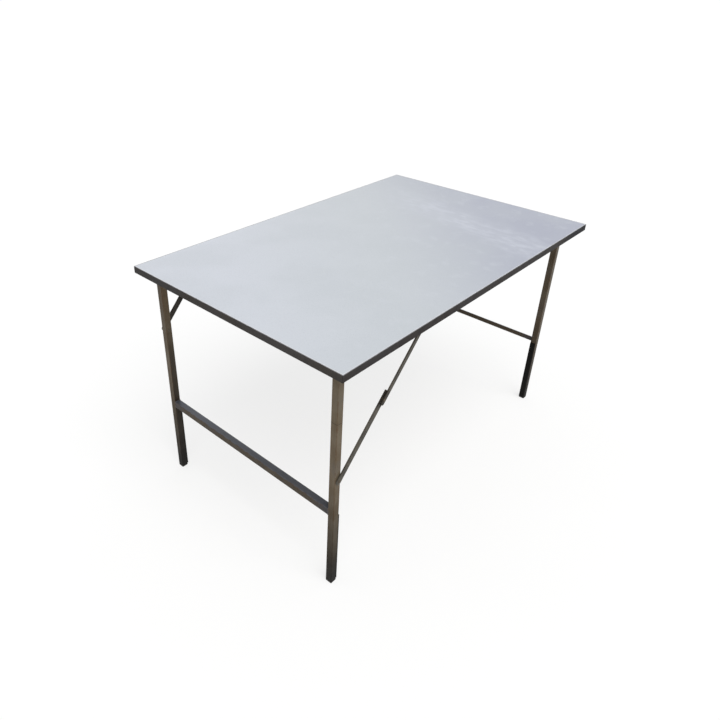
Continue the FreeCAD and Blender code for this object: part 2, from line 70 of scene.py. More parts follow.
# Light and floor
SKY_AT_HORIZON = 0.2
SKY_OVERHEAD = 0.75
SKY_COLOUR = (0.97, 0.99, 1.0)
SUN_FROM = Vector((-0.16, -0.50, 0.85))
SUN_DISTANCE = 3
SUN_STRENGTH = 1.7
SUN_SPREAD = math.radians(50)
SUN_COLOUR = (1.0, 0.985, 0.96)
FLOOR_HALF = 40
FLOOR_DROP = 0.2 * MM
FLOOR_WHITE = 0.32
FLOOR_GRAIN = 0.01
FLOOR_LIFT = 0.70

# Shapes of several pieces
SHARP_ANGLE = math.radians(28)
TURNED_STEPS = 36
DRILLED_STEPS = 32
EASE_STEPS = 4
PLATE_EASE = 0.45 * MM
PLATE_SEAM = 0.001 * MM

# Top
SHEET_EASE = 0.35 * MM
LIPPING_EASE = 0.6 * MM
# The band across the top that a cloth left paler: where it crosses the middle, how far it leans, how far
# from its line it starts and is full, and the places along Y between which it comes up
WIPED_LINE = 0.355
WIPED_LEAN = 0.17
WIPED_REACH = (0.11, 0.015)
WIPED_RISE = (0.36, 0.06)
# How dark each edge band is at its two ends, partly dirt and partly painted shade, and the places along it
# between which that changes
LIPPING_DARKNESS = {"front": (0.43, 1.0, 0.38, 0.53), "back": (0.3, 0.5, -0.3, 0.4),
                "left": (0.0, 0.22, -0.1, 0.36), "right": (0.2, 0.35, -0.2, 0.3)}

# Legs and rails
TUBE_CORNER = 2 * MM
# How dark each leg and rail is painted all over, as painted shade
TUBE_SHADE = {"wide_leg_near": 0.0, "wide_leg_far": 0.4, "wide_rail": 0.5,
           "narrow_leg_near": 0.5, "narrow_leg_far": 0.3, "narrow_rail": 0.5}
# How bright a painted sheen the tops of the rails get, and how much more metallic they are there
RAIL_POLISH_AND_SHEEN = 0.12
# The height at which a line is scored round a leg, and how it slopes
SCORED = {"wide_leg_near": 0.543}
SCORE_SLOPE = 0.12
# The heights between which the inner face of a leg is painted lighter upward, as painted light, and darker
# downward, as painted shade, and between which every face darkens towards the floor
INNER_PAINTED_LIGHT = (0.5, 0.62)
INNER_PAINTED_SHADE = (0.52, 0.42)
DARKENING_HEIGHTS = (0.36, 0.03)

# Welds
WELD_RADIUS = 2.5 * MM
# How far a weld stands out above and below its rail, and beside it, where a tube is flush with the leg
WELD_PROUD = 2.3 * MM
WELD_PROUD_BESIDE = {"wide": 0.7 * MM, "narrow": 2.3 * MM}
WELD_SIDES = 16
WELD_RIPPLE = 2.1 * MM
WELD_STEPS_PER_RIPPLE = 4
# How far the ripples swell the bead, and how far and how fast its thickness wavers besides
WELD_SWELL = 0.09
WELD_WAVER = 0.07
WELD_WAVER_RATE = 1.7

# Foot caps and buffer strips
FOOT_CUP = 0.8 * MM
FOOT_FLANGE = 4 * MM
# The sole and the flange from the cup outward and up, as inset, height and corner radius
FOOT_SOLE = (
    (5.2 * MM, FOOT_CUP, 1.2 * MM),
    (4.6 * MM, 0, 1.2 * MM),
    (1.1 * MM, 0, 1.4 * MM),
    (0.62 * MM, 0.11 * MM, 1.6 * MM),
    (0.28 * MM, 0.4 * MM, 1.8 * MM),
    (0.08 * MM, 0.9 * MM, TUBE_CORNER),
    (0, 1.6 * MM, TUBE_CORNER),
    (0, FOOT_FLANGE - 0.3 * MM, TUBE_CORNER),
    (0.3 * MM, FOOT_FLANGE, TUBE_CORNER),
)
PLUG_INSET = 1.6 * MM
PLUG_CORNER = 1 * MM
PLUG_RIBS = 3
PLUG_RIB_PITCH = 6 * MM
# One rib of the plug from below, as the depth of the groove and the height
PLUG_RIB = ((0.4 * MM, 0), (0.4 * MM, 1.5 * MM), (0, 2.2 * MM), (0, 4 * MM), (0.4 * MM, 5 * MM))
PLUG_TIP_GAP = 0.5 * MM
STRIP_CORNER = 1.2 * MM
STRIP_CORNER_STEPS = 4
STRIP_GROOVE = 0.7 * MM
STRIP_GROOVE_STEPS = 8
STRIP_EASE = 0.3 * MM

# Stays
# How dark each stay is painted all over, as painted shade
STAY_SHADE = {"wide_long": 0.0, "wide_short": 0.7, "narrow_long": 0.3}
LINK_WIDTH = {"lower": 16 * MM, "upper": 12 * MM}
LINK_TAIL = 1 * MM
LINK_LAP = {"lower": 24 * MM, "upper": 9 * MM}
LINK_CLIP = 12 * MM
LINK_END_STEPS = 16
RIVET_HOLE = 6.1 * MM

# Brackets
BRACKET_THICK = 3 * MM
BRACKET_CORNER = 3 * MM
BRACKET_CORNER_STEPS = 6
BRACKET_END_STEPS = 20
BEND_RADIUS = 2 * MM
BEND_STEPS = 6
HINGE_EAR = 12 * MM
HINGE_SCREWS = (16 * MM, 32 * MM)
STAY_TAB = 9 * MM
STAY_SCREW_OUT = 13 * MM
STAY_SCREW_PITCH = 28 * MM
PIVOT_HOLE = 8.1 * MM
SCREW_HOLE = 3.6 * MM

# Bolts, nuts and screws
BOLT_DIA = 8 * MM
BOLT_HEAD = 5 * MM
BOLT_PLAY = 0.2 * MM
BOLT_TIP = 1.5 * MM
BOLT_CHAMFER = (0.7 * MM, 0.8 * MM)
HEX_CORNERS = 15 * MM
HEX_CHAMFER = 0.94
HEX_STEPS = 8
NUT_HEIGHT = 6.5 * MM
COLLAR_RADIUS = 5.6 * MM
COLLAR_HEIGHT = 1.6 * MM
COLLAR_SINK = 0.3 * MM
COLLAR_CHAMFER = (0.5 * MM, 0.7 * MM)
SCREW_DIA = 3.5 * MM
SCREW_LENGTH = 17 * MM
SCREW_POINT = 4 * MM
SCREW_HEAD_DIA = 7.5 * MM
SCREW_HEAD = 2.2 * MM
SCREW_RIM = 0.5 * MM
SCREW_STEPS = 48
CROWN_STEPS = 12
CROWN_CURVE = 2.4
CROSS_HALF = 0.55 * MM
CROSS_WALL = 0.12 * MM
CROSS_REACH = 2.4 * MM
CROSS_FADE = 0.9 * MM
CROSS_DEPTH = 1.3 * MM


# Shader maths

class Shade:
    """An output of a material's node. Arithmetic on it adds Math nodes, and node() adds any other."""

    def __init__(self, socket):
        self.socket = socket

    def node(self, kind, settings, inputs, output=0):
        """Adds a node: its settings first, then its inputs as numbers, colours or other outputs."""
        tree = self.socket.id_data
        made = tree.nodes.new(kind)
        for name, value in settings.items():
            setattr(made, name, value)
        for key, value in inputs.items():
            if isinstance(value, Shade):
                tree.links.new(value.socket, made.inputs[key])
            else:
                made.inputs[key].default_value = value
        return Shade(made.outputs[output]) if made.outputs else None

    def maths(self, operation, *values):
        return self.node("ShaderNodeMath", {"operation": operation}, dict(enumerate(values)))

    def __add__(self, other):
        return self.maths("ADD", self, other)

    def __radd__(self, other):
        return self.maths("ADD", other, self)

    def __sub__(self, other):
        return self.maths("SUBTRACT", self, other)

    def __rsub__(self, other):
        return self.maths("SUBTRACT", other, self)

    def __mul__(self, other):
        return self.maths("MULTIPLY", self, other)

    def __rmul__(self, other):
        return self.maths("MULTIPLY", other, self)

    def __abs__(self):
        return self.maths("ABSOLUTE", self)


def ink(red, green, blue):
    """A colour as a picture gives it, from 0 to 255, in the light values that shaders use."""
    shares = [level / 255 for level in (red, green, blue)]
    light = [s / 12.92 if s <= 0.04045 else ((s + 0.055) / 1.055) ** 2.4 for s in shares]
    return (*light, 1.0)


def smallest(first, second):
    return first.maths("MINIMUM", first, second)


def largest(first, second):
    return first.maths("MAXIMUM", first, second)


def step(value, low, high, shape="SMOOTHSTEP"):
    """Rises from 0 at low to 1 at high, or falls where low is the greater. It is smooth, or straight
    where the shape says LINEAR."""
    settings = {"interpolation_type": shape}
    return value.node("ShaderNodeMapRange", settings, {0: value, 1: low, 2: high, 3: 0.0, 4: 1.0})


def tint(first, second, share):
    """The first colour where share is 0 and the second where it is 1. A Mix node takes colours at its
    inputs 6 and 7 and gives one at its output 2."""
    return share.node("ShaderNodeMix", {"data_type": "RGBA"}, {0: share, 6: first, 7: second}, 2)


def moved(place, by):
    """A place as measured from another point."""
    return place.node("ShaderNodeVectorMath", {"operation": "SUBTRACT"}, {0: place, 1: tuple(by)})


def nearness(place, spot, inner, outer):
    """1 within the inner distance of a spot, fading to 0 at the outer one."""
    distance = place.node("ShaderNodeVectorMath", {"operation": "DISTANCE"}, {0: place, 1: tuple(spot)}, 1)
    return step(distance, outer, inner)


def turned_by(place, axis, angle):
    settings = {"rotation_type": "AXIS_ANGLE"}
    return place.node("ShaderNodeVectorRotate", settings, {"Vector": place, "Axis": axis, "Angle": angle})


def along(place, axis):
    """One coordinate of a place."""
    return place.node("ShaderNodeSeparateXYZ", {}, {0: place}, axis)


def cloud(place, scale, detail=3, stretch=(1, 1, 1)):
    """Noise about 0.5, in blotches of about a metre divided by the scale, longer where stretch is small."""
    spread = place.node("ShaderNodeVectorMath", {"operation": "MULTIPLY"}, {0: place, 1: stretch})
    return place.node("ShaderNodeTexNoise", {}, {"Vector": spread, "Scale": scale, "Detail": detail})


def flakes(place, scale, output):
    """Cells of about a metre divided by the scale: the Distance from their middles, or a Color for each."""
    return place.node("ShaderNodeTexVoronoi", {}, {"Vector": place, "Scale": scale}, output)


def relief(height, depth):
    """A surface normal for bumps of a depth in metres."""
    return height.node("ShaderNodeBump", {}, {"Height": height, "Strength": 1.0, "Distance": depth})


def begin(name):
    """A new material, and the place of each point of its piece in the frame of the solids."""
    finish = bpy.data.materials.new(name)
    finish.use_nodes = True
    finish.node_tree.nodes.clear()
    coordinates = finish.node_tree.nodes.new("ShaderNodeTexCoord")
    return finish, Shade(coordinates.outputs["Object"])


def close(place, inputs):
    """Ends a material with its shader."""
    shader = place.node("ShaderNodeBsdfPrincipled", {}, inputs)
    place.node("ShaderNodeOutputMaterial", {}, {"Surface": shader})


# Finishes

def laminate_finish():
    """Satin grey laminate: soft clouding, a fine speck, faint scuffs, painted shade towards the right-hand
    end of the front edge, and a painted highlight along the arris.
    """
    finish, place = begin("grey_laminate")
    haze = cloud(place, 5, 2)
    mottle = cloud(place, 26, 4)
    speck = cloud(place, 620, 1)
    # Painted shade: the top is painted darker and bluer towards the right-hand end of the front edge.
    towards_shaded_corner = along(place, X) - 0.9 * along(place, Y)
    colour = tint(ink(209, 213, 222), ink(198, 203, 209), step(towards_shaded_corner, -0.8, 0.1))
    colour = tint(colour, ink(166, 170, 186), step(towards_shaded_corner, -0.08, 0.75))
    colour = tint(colour, ink(188, 194, 200), 0.25 * step(haze, 0.42, 0.66))
    colour = tint(colour, ink(208, 212, 219), 0.25 * step(mottle, 0.5, 0.75))
    colour = tint(colour, ink(162, 167, 177), 0.3 * step(speck, 0.5, 0.8))
    colour = tint(colour, ink(206, 210, 221), 0.5 * wiped_band(place))
    scuffs = largest(scratches(place, 0.4), scratches(place, -0.9))
    colour = tint(colour, ink(224, 226, 230), 0.22 * scuffs)
    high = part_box("top_laminate")[1]
    in_from_end = high.x - abs(along(place, X))
    in_from_side = high.y - abs(along(place, Y))
    # Painted highlight: a pale line along the arris of the sheet.
    arris = step(smallest(in_from_end, in_from_side), 2.2 * MM, 0.6 * MM)
    colour = tint(colour, ink(226, 228, 233), 0.7 * arris)
    roughness = 0.36 + 0.14 * mottle + 0.1 * scuffs
    close(place, {"Base Color": colour, "Roughness": roughness,
                  "Normal": relief(cloud(place, 300, 2) + 0.5 * scuffs, 0.03 * MM)})
    return finish


def wiped_band(place):
    """A soft band of pale streaks that fades towards the far side."""
    sway = 0.1 * (cloud(place, 6, 2) - 0.5)
    off_line = abs(along(place, X) - WIPED_LEAN * along(place, Y) - WIPED_LINE + sway)
    streaks = step(cloud(place, 46, 6, (1, 0.45, 1)), 0.4, 0.68)
    return step(off_line, *WIPED_REACH) * step(along(place, Y), *WIPED_RISE) * (0.3 + 0.7 * streaks)


def scratches(place, angle):
    """Thin straight marks that run one way."""
    field = cloud(turned_by(place, (0, 0, 1), angle), 420, 1, (0.016, 1, 1))
    return step(field, 0.7, 0.76) * step(cloud(place, 5, 2), 0.5, 0.7)


def lipping_finish(name, run, darkness_ends):
    """Charcoal edge band: a leathery moulded face, darkened along its run by dirt and painted shade, with
    pale rubs along its arrises and a painted highlight along its top edge.
    """
    finish, place = begin(name)
    darkness_at_start, darkness_at_stop, start, stop = darkness_ends
    # Dirt together with painted shade: how dark the band is, changing along its run.
    darkening = darkness_at_start + (darkness_at_stop - darkness_at_start) * step(along(place, run), start, stop)
    grain = cloud(place, 240, 3)
    rubs = cloud(place, 38, 4)
    colour = tint(ink(87, 82, 78), ink(91, 88, 87), step(cloud(place, 9, 3), 0.35, 0.65))
    colour = tint(colour, ink(46, 46, 50), darkening + 0.2 * step(rubs, 0.5, 0.3))
    colour = tint(colour, ink(86, 82, 78), 0.25 * step(grain, 0.5, 0.75))
    low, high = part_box("edge_band_front")
    height = along(place, Z)
    arris = step(smallest(height - low.z, high.z - height), 1.6 * MM, 0.3 * MM)
    colour = tint(colour, ink(118, 114, 109), 0.5 * arris * step(rubs, 0.5, 0.68))
    # Painted highlight: a pale line along the top edge of the band, varied by the rubs.
    top_edge_line = step(height, high.z - 0.6 * MM, high.z - 0.1 * MM)
    colour = tint(colour, ink(168, 168, 172), top_edge_line * (0.45 + 0.5 * rubs))
    roughness = 0.55 + 0.2 * grain
    close(place, {"Base Color": colour, "Roughness": roughness, "Specular IOR Level": 0.06,
                  "Normal": relief(grain, 0.12 * MM)})
    return finish


def backing_finish():
    """Brown balancing paper: long pressed fibres and a few glue stains."""
    finish, place = begin("backing_laminate")
    fibre = cloud(place, 160, 4, (0.12, 1, 1))
    stain = cloud(place, 7, 4)
    colour = tint(ink(150, 130, 106), ink(171, 151, 124), step(fibre, 0.35, 0.65))
    colour = tint(colour, ink(122, 103, 82), 0.55 * step(stain, 0.55, 0.75))
    close(place, {"Base Color": colour, "Roughness": 0.62 + 0.2 * fibre, "Normal": relief(fibre, 0.08 * MM)})
    return finish


def chipboard_finish():
    """Raw chipboard: flakes of several browns, pressed with dark glue between them."""
    finish, place = begin("particle_board")
    chip = along(flakes(place, 320, "Color"), X)
    gap = flakes(place, 320, "Distance")
    colour = tint(ink(168, 132, 90), ink(206, 172, 126), chip)
    colour = tint(colour, ink(112, 82, 52), 0.7 * step(gap, 0.35, 0.65))
    close(place, {"Base Color": colour, "Roughness": 0.75 + 0.15 * chip, "Normal": relief(gap, 0.3 * MM)})
    return finish


def frame_finish(node, run, rail_height):
    """Bare steel of a leg or a rail under an aged clear lacquer: brown and blue-grey drifts, drawn lines
    along its run, rust along the corners and round the weld, painted shade over the pieces under the top, a
    painted reflection on the tops of the rails, painted light and shade on the inner faces of the legs, and
    darker towards the floor."""
    finish, place = begin(f"{node}_steel")
    low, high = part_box(node)
    local = moved(place, (low + high) / 2)
    half = (high - low) / 2
    height = along(place, Z)
    stretch = tuple(0.03 if axis == run else 1 for axis in (X, Y, Z))
    drawn = cloud(place, 700, 2, stretch)
    drift = cloud(place, 16, 4)
    speck = cloud(place, 260, 4)
    colour = tint(ink(121, 108, 89), ink(109, 94, 73), step(drift, 0.38, 0.62))
    colour = tint(colour, ink(100, 97, 95), 0.4 * step(cloud(place, 11, 3), 0.52, 0.7))
    colour = tint(colour, ink(138, 128, 110), 0.35 * step(drawn, 0.5, 0.75))
    # Painted shade: a darker tone over the whole leg or rail.
    colour = tint(colour, ink(68, 59, 49), TUBE_SHADE[node] * (0.7 + 0.6 * drift))
    if run == Y:
        at_weld = step(abs(along(local, Y)), half.y - 60 * MM, half.y - 6 * MM)
        rail_top = step(along(local, Z), half.z - 1.5 * MM, half.z - 0.3 * MM)
        colour = tint(colour, ink(84, 88, 99), 0.6 * at_weld)
        # Painted reflection: the tops of the rails are painted blue-grey, and brighter still in patches.
        colour = tint(colour, ink(96, 101, 112), 0.85 * rail_top)
        uneven = 0.4 + 1.2 * cloud(place, 7, 2)
        colour = tint(colour, ink(176, 180, 190), RAIL_POLISH_AND_SHEEN * rail_top * uneven)
    else:
        at_weld = step(abs(height - rail_height), 34 * MM, 8 * MM)
        rail_top = 0.0
        towards_middle = along(local, Y) * (-1 if low.y > 0 else 1)
        inner_face = step(towards_middle, half.y - 1 * MM, half.y - 0.3 * MM)
        # Painted light high on the inner face of a leg, and painted shade below it.
        colour = tint(colour, ink(126, 108, 84), 0.6 * inner_face * step(height, *INNER_PAINTED_LIGHT))
        colour = tint(colour, ink(38, 34, 30), 0.65 * inner_face * step(height, *INNER_PAINTED_SHADE))
    if node in SCORED:
        off_score = abs(height - SCORED[node] + SCORE_SLOPE * along(local, X))
        score = step(off_score, 1.5 * MM, 0.6 * MM)
        colour = tint(colour, ink(58, 50, 41), 0.6 * score)
    sides = [abs(along(local, axis)) - half[axis] for axis in (X, Y, Z) if axis != run]
    corner = step(smallest(*sides), -3.2 * MM, -0.8 * MM)
    rust = step(cloud(place, 60, 4), 0.42, 0.66)
    colour = tint(colour, ink(99, 73, 50), 0.65 * corner * rust)
    bloom = step(speck, 0.54, 0.7) * (1 - 0.8 * rail_top)
    colour = tint(colour, ink(112, 72, 47), (0.1 + 0.45 * at_weld) * bloom)
    # Darker towards the floor.
    low_darkening = step(height, *DARKENING_HEIGHTS, "LINEAR") * (0.85 + 0.3 * drift)
    colour = tint(colour, ink(18, 15, 12), low_darkening)
    roughness = 0.42 + 0.16 * drift + 0.14 * bloom + 0.2 * low_darkening - 0.15 * rail_top
    metal = 0.3 - 0.3 * low_darkening + RAIL_POLISH_AND_SHEEN * rail_top
    relief_height = drawn + 0.6 * speck * (1 - 0.85 * rail_top)
    close(place, {"Base Color": colour, "Metallic": metal, "Roughness": roughness,
                  "Specular IOR Level": 0.25, "Normal": relief(relief_height, 0.05 * MM)})
    return finish


def flat_bar_finish(name, slope, knuckle, bar_shade):
    """Bare flat bar: rolled lines along the stay, a little rust, painted shade over the stays under the top,
    and painted shade where the bars lap at the knuckle.
    """
    finish, place = begin(name)
    level = turned_by(place, (0, 1, 0), slope)
    rolled = cloud(level, 600, 2, (0.03, 1, 1))
    drift = cloud(place, 30, 4)
    rust = step(cloud(place, 120, 4), 0.56, 0.72)
    colour = tint(ink(92, 87, 77), ink(76, 73, 67), step(drift, 0.4, 0.62))
    colour = tint(colour, ink(112, 107, 97), 0.4 * step(rolled, 0.5, 0.75))
    colour = tint(colour, ink(98, 68, 46), 0.3 * rust)
    # Painted shade over the whole stay.
    colour = tint(colour, ink(40, 38, 35), bar_shade * (0.7 + 0.6 * drift))
    # Painted shade where the two bars lap at the knuckle.
    at_knuckle = nearness(place, knuckle, 18 * MM, 32 * MM)
    colour = tint(colour, ink(44, 39, 34), at_knuckle * (0.5 + 0.6 * drift))
    close(place, {"Base Color": colour, "Metallic": 0.35, "Roughness": 0.4 + 0.2 * drift + 0.15 * rust,
                  "Specular IOR Level": 0.25, "Normal": relief(rolled + 0.5 * drift, 0.05 * MM)})
    return finish


def bracket_finish():
    """Dark paint on pressed plate, chipped to bare metal here and there."""
    finish, place = begin("bracket_steel")
    skin = cloud(place, 420, 3)
    chips = step(cloud(place, 130, 5), 0.62, 0.66)
    colour = tint(ink(62, 61, 60), ink(72, 71, 70), step(cloud(place, 40, 3), 0.4, 0.6))
    colour = tint(colour, ink(126, 122, 116), 0.8 * chips)
    close(place, {"Base Color": colour, "Metallic": 0.7 * chips, "Roughness": 0.42 + 0.12 * skin,
                  "Normal": relief(skin - 0.8 * chips, 0.06 * MM)})
    return finish


def zinc_finish():
    """Dull zinc: a light spangle, with tarnish in the hollows."""
    finish, place = begin("fastener_steel")
    spangle = along(flakes(place, 900, "Color"), X)
    tarnish = step(cloud(place, 180, 4), 0.45, 0.7)
    colour = tint(ink(134, 131, 126), ink(158, 156, 152), spangle)
    colour = tint(colour, ink(98, 90, 80), 0.65 * tarnish)
    close(place, {"Base Color": colour, "Metallic": 0.85, "Roughness": 0.34 + 0.2 * tarnish,
                  "Normal": relief(cloud(place, 900, 2), 0.03 * MM)})
    return finish


def rivet_finish():
    """Rivets and washers of the stays: brown steel like the tube, brighter where they rub."""
    finish, place = begin("rivet_steel")
    rub = step(cloud(place, 260, 4), 0.5, 0.7)
    colour = tint(ink(86, 77, 63), ink(116, 108, 95), rub)
    close(place, {"Base Color": colour, "Metallic": 0.4, "Roughness": 0.52 - 0.12 * rub,
                  "Normal": relief(cloud(place, 700, 2), 0.04 * MM)})
    return finish


def weld_finish():
    """A weld bead left as laid: dark slag between ripples, with brown and blue heat colours."""
    finish, place = begin("weld_steel")
    heat = cloud(place, 150, 3)
    slag = step(cloud(place, 420, 4), 0.48, 0.7)
    colour = tint(ink(98, 80, 60), ink(84, 88, 98), step(heat, 0.4, 0.62))
    colour = tint(colour, ink(52, 46, 40), 0.7 * slag)
    close(place, {"Base Color": colour, "Metallic": 0.6, "Roughness": 0.44 + 0.25 * slag,
                  "Normal": relief(slag, 0.12 * MM)})
    return finish


def foot_finish():
    """Black moulded plastic, scuffed grey and dusty near the floor."""
    finish, place = begin("foot_plastic")
    grain = cloud(place, 700, 2)
    scuff = step(cloud(place, 170, 5), 0.52, 0.7) * step(along(place, Z), 5 * MM, 0.5 * MM)
    colour = tint(ink(20, 19, 16), ink(30, 29, 25), step(cloud(place, 90, 3), 0.4, 0.65))
    colour = tint(colour, ink(78, 74, 66), 0.5 * scuff)
    roughness = 0.5 + 0.16 * grain + 0.15 * scuff
    close(place, {"Base Color": colour, "Roughness": roughness, "Specular IOR Level": 0.3,
                  "Normal": relief(grain, 0.05 * MM)})
    return finish


def rubber_finish():
    """Black rubber with a dry bloom and dust in patches."""
    finish, place = begin("buffer_rubber")
    bloom = cloud(place, 45, 4)
    grain = cloud(place, 900, 2)
    colour = tint(ink(10, 9, 7), ink(20, 18, 15), step(bloom, 0.4, 0.65))
    colour = tint(colour, ink(50, 46, 40), 0.2 * step(cloud(place, 140, 5), 0.58, 0.75))
    close(place, {"Base Color": colour, "Roughness": 0.68 + 0.2 * bloom, "Specular IOR Level": 0.2,
                  "Normal": relief(grain, 0.06 * MM)})
    return finish


# Shapes

def loft(rings, closed=False):
    """A skin over rings of points. All rings are as long as each other, apart from single tips."""
    shape = bmesh.new()
    rows = [[shape.verts.new(point) for point in ring] for ring in rings]
    count = max(len(row) for row in rows)
    following = rows[1:] + rows[:1] if closed else rows[1:]
    for lower, upper in zip(rows, following):
        for i in range(count):
            places = ((lower, i), (lower, i + 1), (upper, i + 1), (upper, i))
            corners = [row[j % len(row)] for row, j in places]
            shape.faces.new(list(dict.fromkeys(corners)))
    return shape


def arc(centre, radius, start, end, steps=10):
    """Points on a circle between two angles in quarter turns."""
    turns = [(start + (end - start) * i / steps) * math.pi / 2 for i in range(steps + 1)]
    return [(centre[0] + radius * math.cos(turn), centre[1] + radius * math.sin(turn)) for turn in turns]


def round_hole(x, y, diameter):
    """A circle that runs backwards, as a hole in an outline does."""
    return arc((x, y), diameter / 2, 4, 0, DRILLED_STEPS)[:-1]


def rounded_rectangle(half_x, half_y, radius, steps=5):
    x, y = half_x - radius, half_y - radius
    corners = ((x, y), (-x, y), (-x, -y), (x, -y))
    return [point for i, corner in enumerate(corners) for point in arc(corner, radius, i, i + 1, steps)]


def at_height(points, height):
    return [(x, y, height) for x, y in points]


def turned(*profile):
    """A solid turned about Z through pairs of radius and height, from its foot to its top."""
    circle = arc((0, 0), 1, 0, 4, TURNED_STEPS)[:-1]
    rings = []
    for radius, height in profile:
        ring = [(x * radius, y * radius) for x, y in circle] if radius else [(0, 0)]
        rings.append(at_height(ring, height))
    return loft(rings)


def hexagon(height):
    """A hexagon that stands on Z 0, with a turned chamfer that meets its top inside the flats."""
    corner = HEX_CORNERS / 2
    flat = corner * math.cos(math.pi / 6)
    chamfer = HEX_CHAMFER * flat
    base, shoulder, rim = [], [], []
    for i in range(6 * HEX_STEPS):
        turn = i * math.pi / 3 / HEX_STEPS
        radius = flat / math.cos(turn % (math.pi / 3) - math.pi / 6)
        way = Vector((math.cos(turn), math.sin(turn), 0))
        base.append(way * radius)
        shoulder.append(way * radius + Vector((0, 0, height - (radius - chamfer) * math.tan(math.pi / 6))))
        rim.append(way * chamfer + Vector((0, 0, height)))
    return loft([[(0, 0, 0)], base, shoulder, rim, [(0, 0, height)]])


def merged(parts):
    """One shape made of several, each with the place that it goes to."""
    whole = bmesh.new()
    for shape, place in parts:
        shape.transform(place)
        held = bpy.data.meshes.new("held")
        shape.to_mesh(held)
        shape.free()
        whole.from_mesh(held)
        bpy.data.meshes.remove(held)
    return whole


def eased_block(low, high, ease):
    """A block between two corners with its edges rounded."""
    shape = bmesh.new()
    bmesh.ops.create_cube(shape, size=1)
    shape.transform(Matrix.LocRotScale((low + high) / 2, None, high - low))
    bmesh.ops.bevel(shape, geom=shape.edges[:], offset=ease, segments=EASE_STEPS, profile=0.5,
                    affect="EDGES")
    return shape


def plate(outline, holes, thick, ease):
    """A flat plate on Z 0 with eased rims, cut to an outline and drilled."""
    curve = bpy.data.curves.new("plate", "CURVE")
    curve.dimensions = "2D"
    curve.fill_mode = "BOTH"
    curve.extrude = thick / 2 - ease
    curve.bevel_depth = ease
    curve.bevel_resolution = 1
    curve.offset = -ease
    for points in (outline, *holes):
        spline = curve.splines.new("POLY")
        spline.points.add(len(points) - 1)
        for point, (x, y) in zip(spline.points, points):
            point.co = (x, y, 0, 1)
        spline.use_cyclic_u = True
    holder = bpy.data.objects.new("plate", curve)
    mesh = bpy.data.meshes.new_from_object(holder)
    shape = bmesh.new()
    shape.from_mesh(mesh)
    bmesh.ops.remove_doubles(shape, verts=shape.verts, dist=PLATE_SEAM)
    shape.transform(Matrix.Translation((0, 0, thick / 2)))
    bpy.data.objects.remove(holder)
    bpy.data.curves.remove(curve)
    bpy.data.meshes.remove(mesh)
    return shape


def bend_over(shape, start, thick):
    """Bends a flat pattern up along Y: what lies past the start of the bend becomes a level flange."""
    neutral = BEND_RADIUS + thick / 2
    length = neutral * math.pi / 2
    for i in range(BEND_STEPS + 1):
        line = (0, start + length * i / BEND_STEPS, 0)
        everything = shape.verts[:] + shape.edges[:] + shape.faces[:]
        bmesh.ops.bisect_plane(shape, geom=everything, plane_co=line, plane_no=(0, 1, 0))
    for vert in shape.verts:
        across, run, depth = vert.co
        turn = min(max((run - start) / neutral, 0), math.pi / 2)
        reach = BEND_RADIUS + thick - depth
        out = thick + BEND_RADIUS - reach * math.cos(turn) + max(run - start - length, 0)
        up = start + reach * math.sin(turn) + min(run - start, 0)
        vert.co = (across, out, up)
    return shape


def flat_length(out, start, thick):
    """How far along a flat pattern a point lies that ends up on the flange at a distance out."""
    return start + (BEND_RADIUS + thick / 2) * math.pi / 2 + out - thick - BEND_RADIUS


def along_y(side, place):
    """The place of a turned or hexagon piece whose axis points to one side along Y."""
    return Matrix.Translation(place) @ Matrix.Rotation(-side * math.pi / 2, 4, "X")


def add_piece(name, shape, body, slot, finish, *nodes):
    """Puts a finished shape on its body, in the place of the solids that it stands for."""
    bmesh.ops.recalc_face_normals(shape, faces=shape.faces)
    mesh = bpy.data.meshes.new(name)
    shape.to_mesh(mesh)
    shape.free()
    for face in mesh.polygons:
        face.use_smooth = True
    mesh.set_sharp_from_angle(angle=SHARP_ANGLE)
    mesh.materials.append(finish)
    piece = bpy.data.objects.new(name, mesh)
    bpy.context.scene.collection.objects.link(piece)
    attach(piece, body)
    if nodes:
        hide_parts(*nodes)


def dress(node, finish):
    """Gives a solid that stays in view its finish."""
    solid = frame["nodes"][node]
    if not solid.material_slots:
        solid.data.materials.append(finish)
    for slot in solid.material_slots:
        slot.material = finish


# Top

def make_top():
    dress("top_core", chipboard_finish())
    dress("underside_backing", backing_finish())
    sheet = eased_block(*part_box("top_laminate"), SHEET_EASE)
    add_piece("top_sheet", sheet, "tabletop", "grey_laminate", laminate_finish(), "top_laminate")
    for side, darkness_ends in LIPPING_DARKNESS.items():
        node = f"edge_band_{side}"
        strip = eased_block(*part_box(node), LIPPING_EASE)
        run = X if side in ("front", "back") else Y
        lipping = lipping_finish(f"{side}_edge_band", run, darkness_ends)
        add_piece(f"{side}_lipping", strip, "tabletop", "edge_band", lipping, node)


# Leg frames

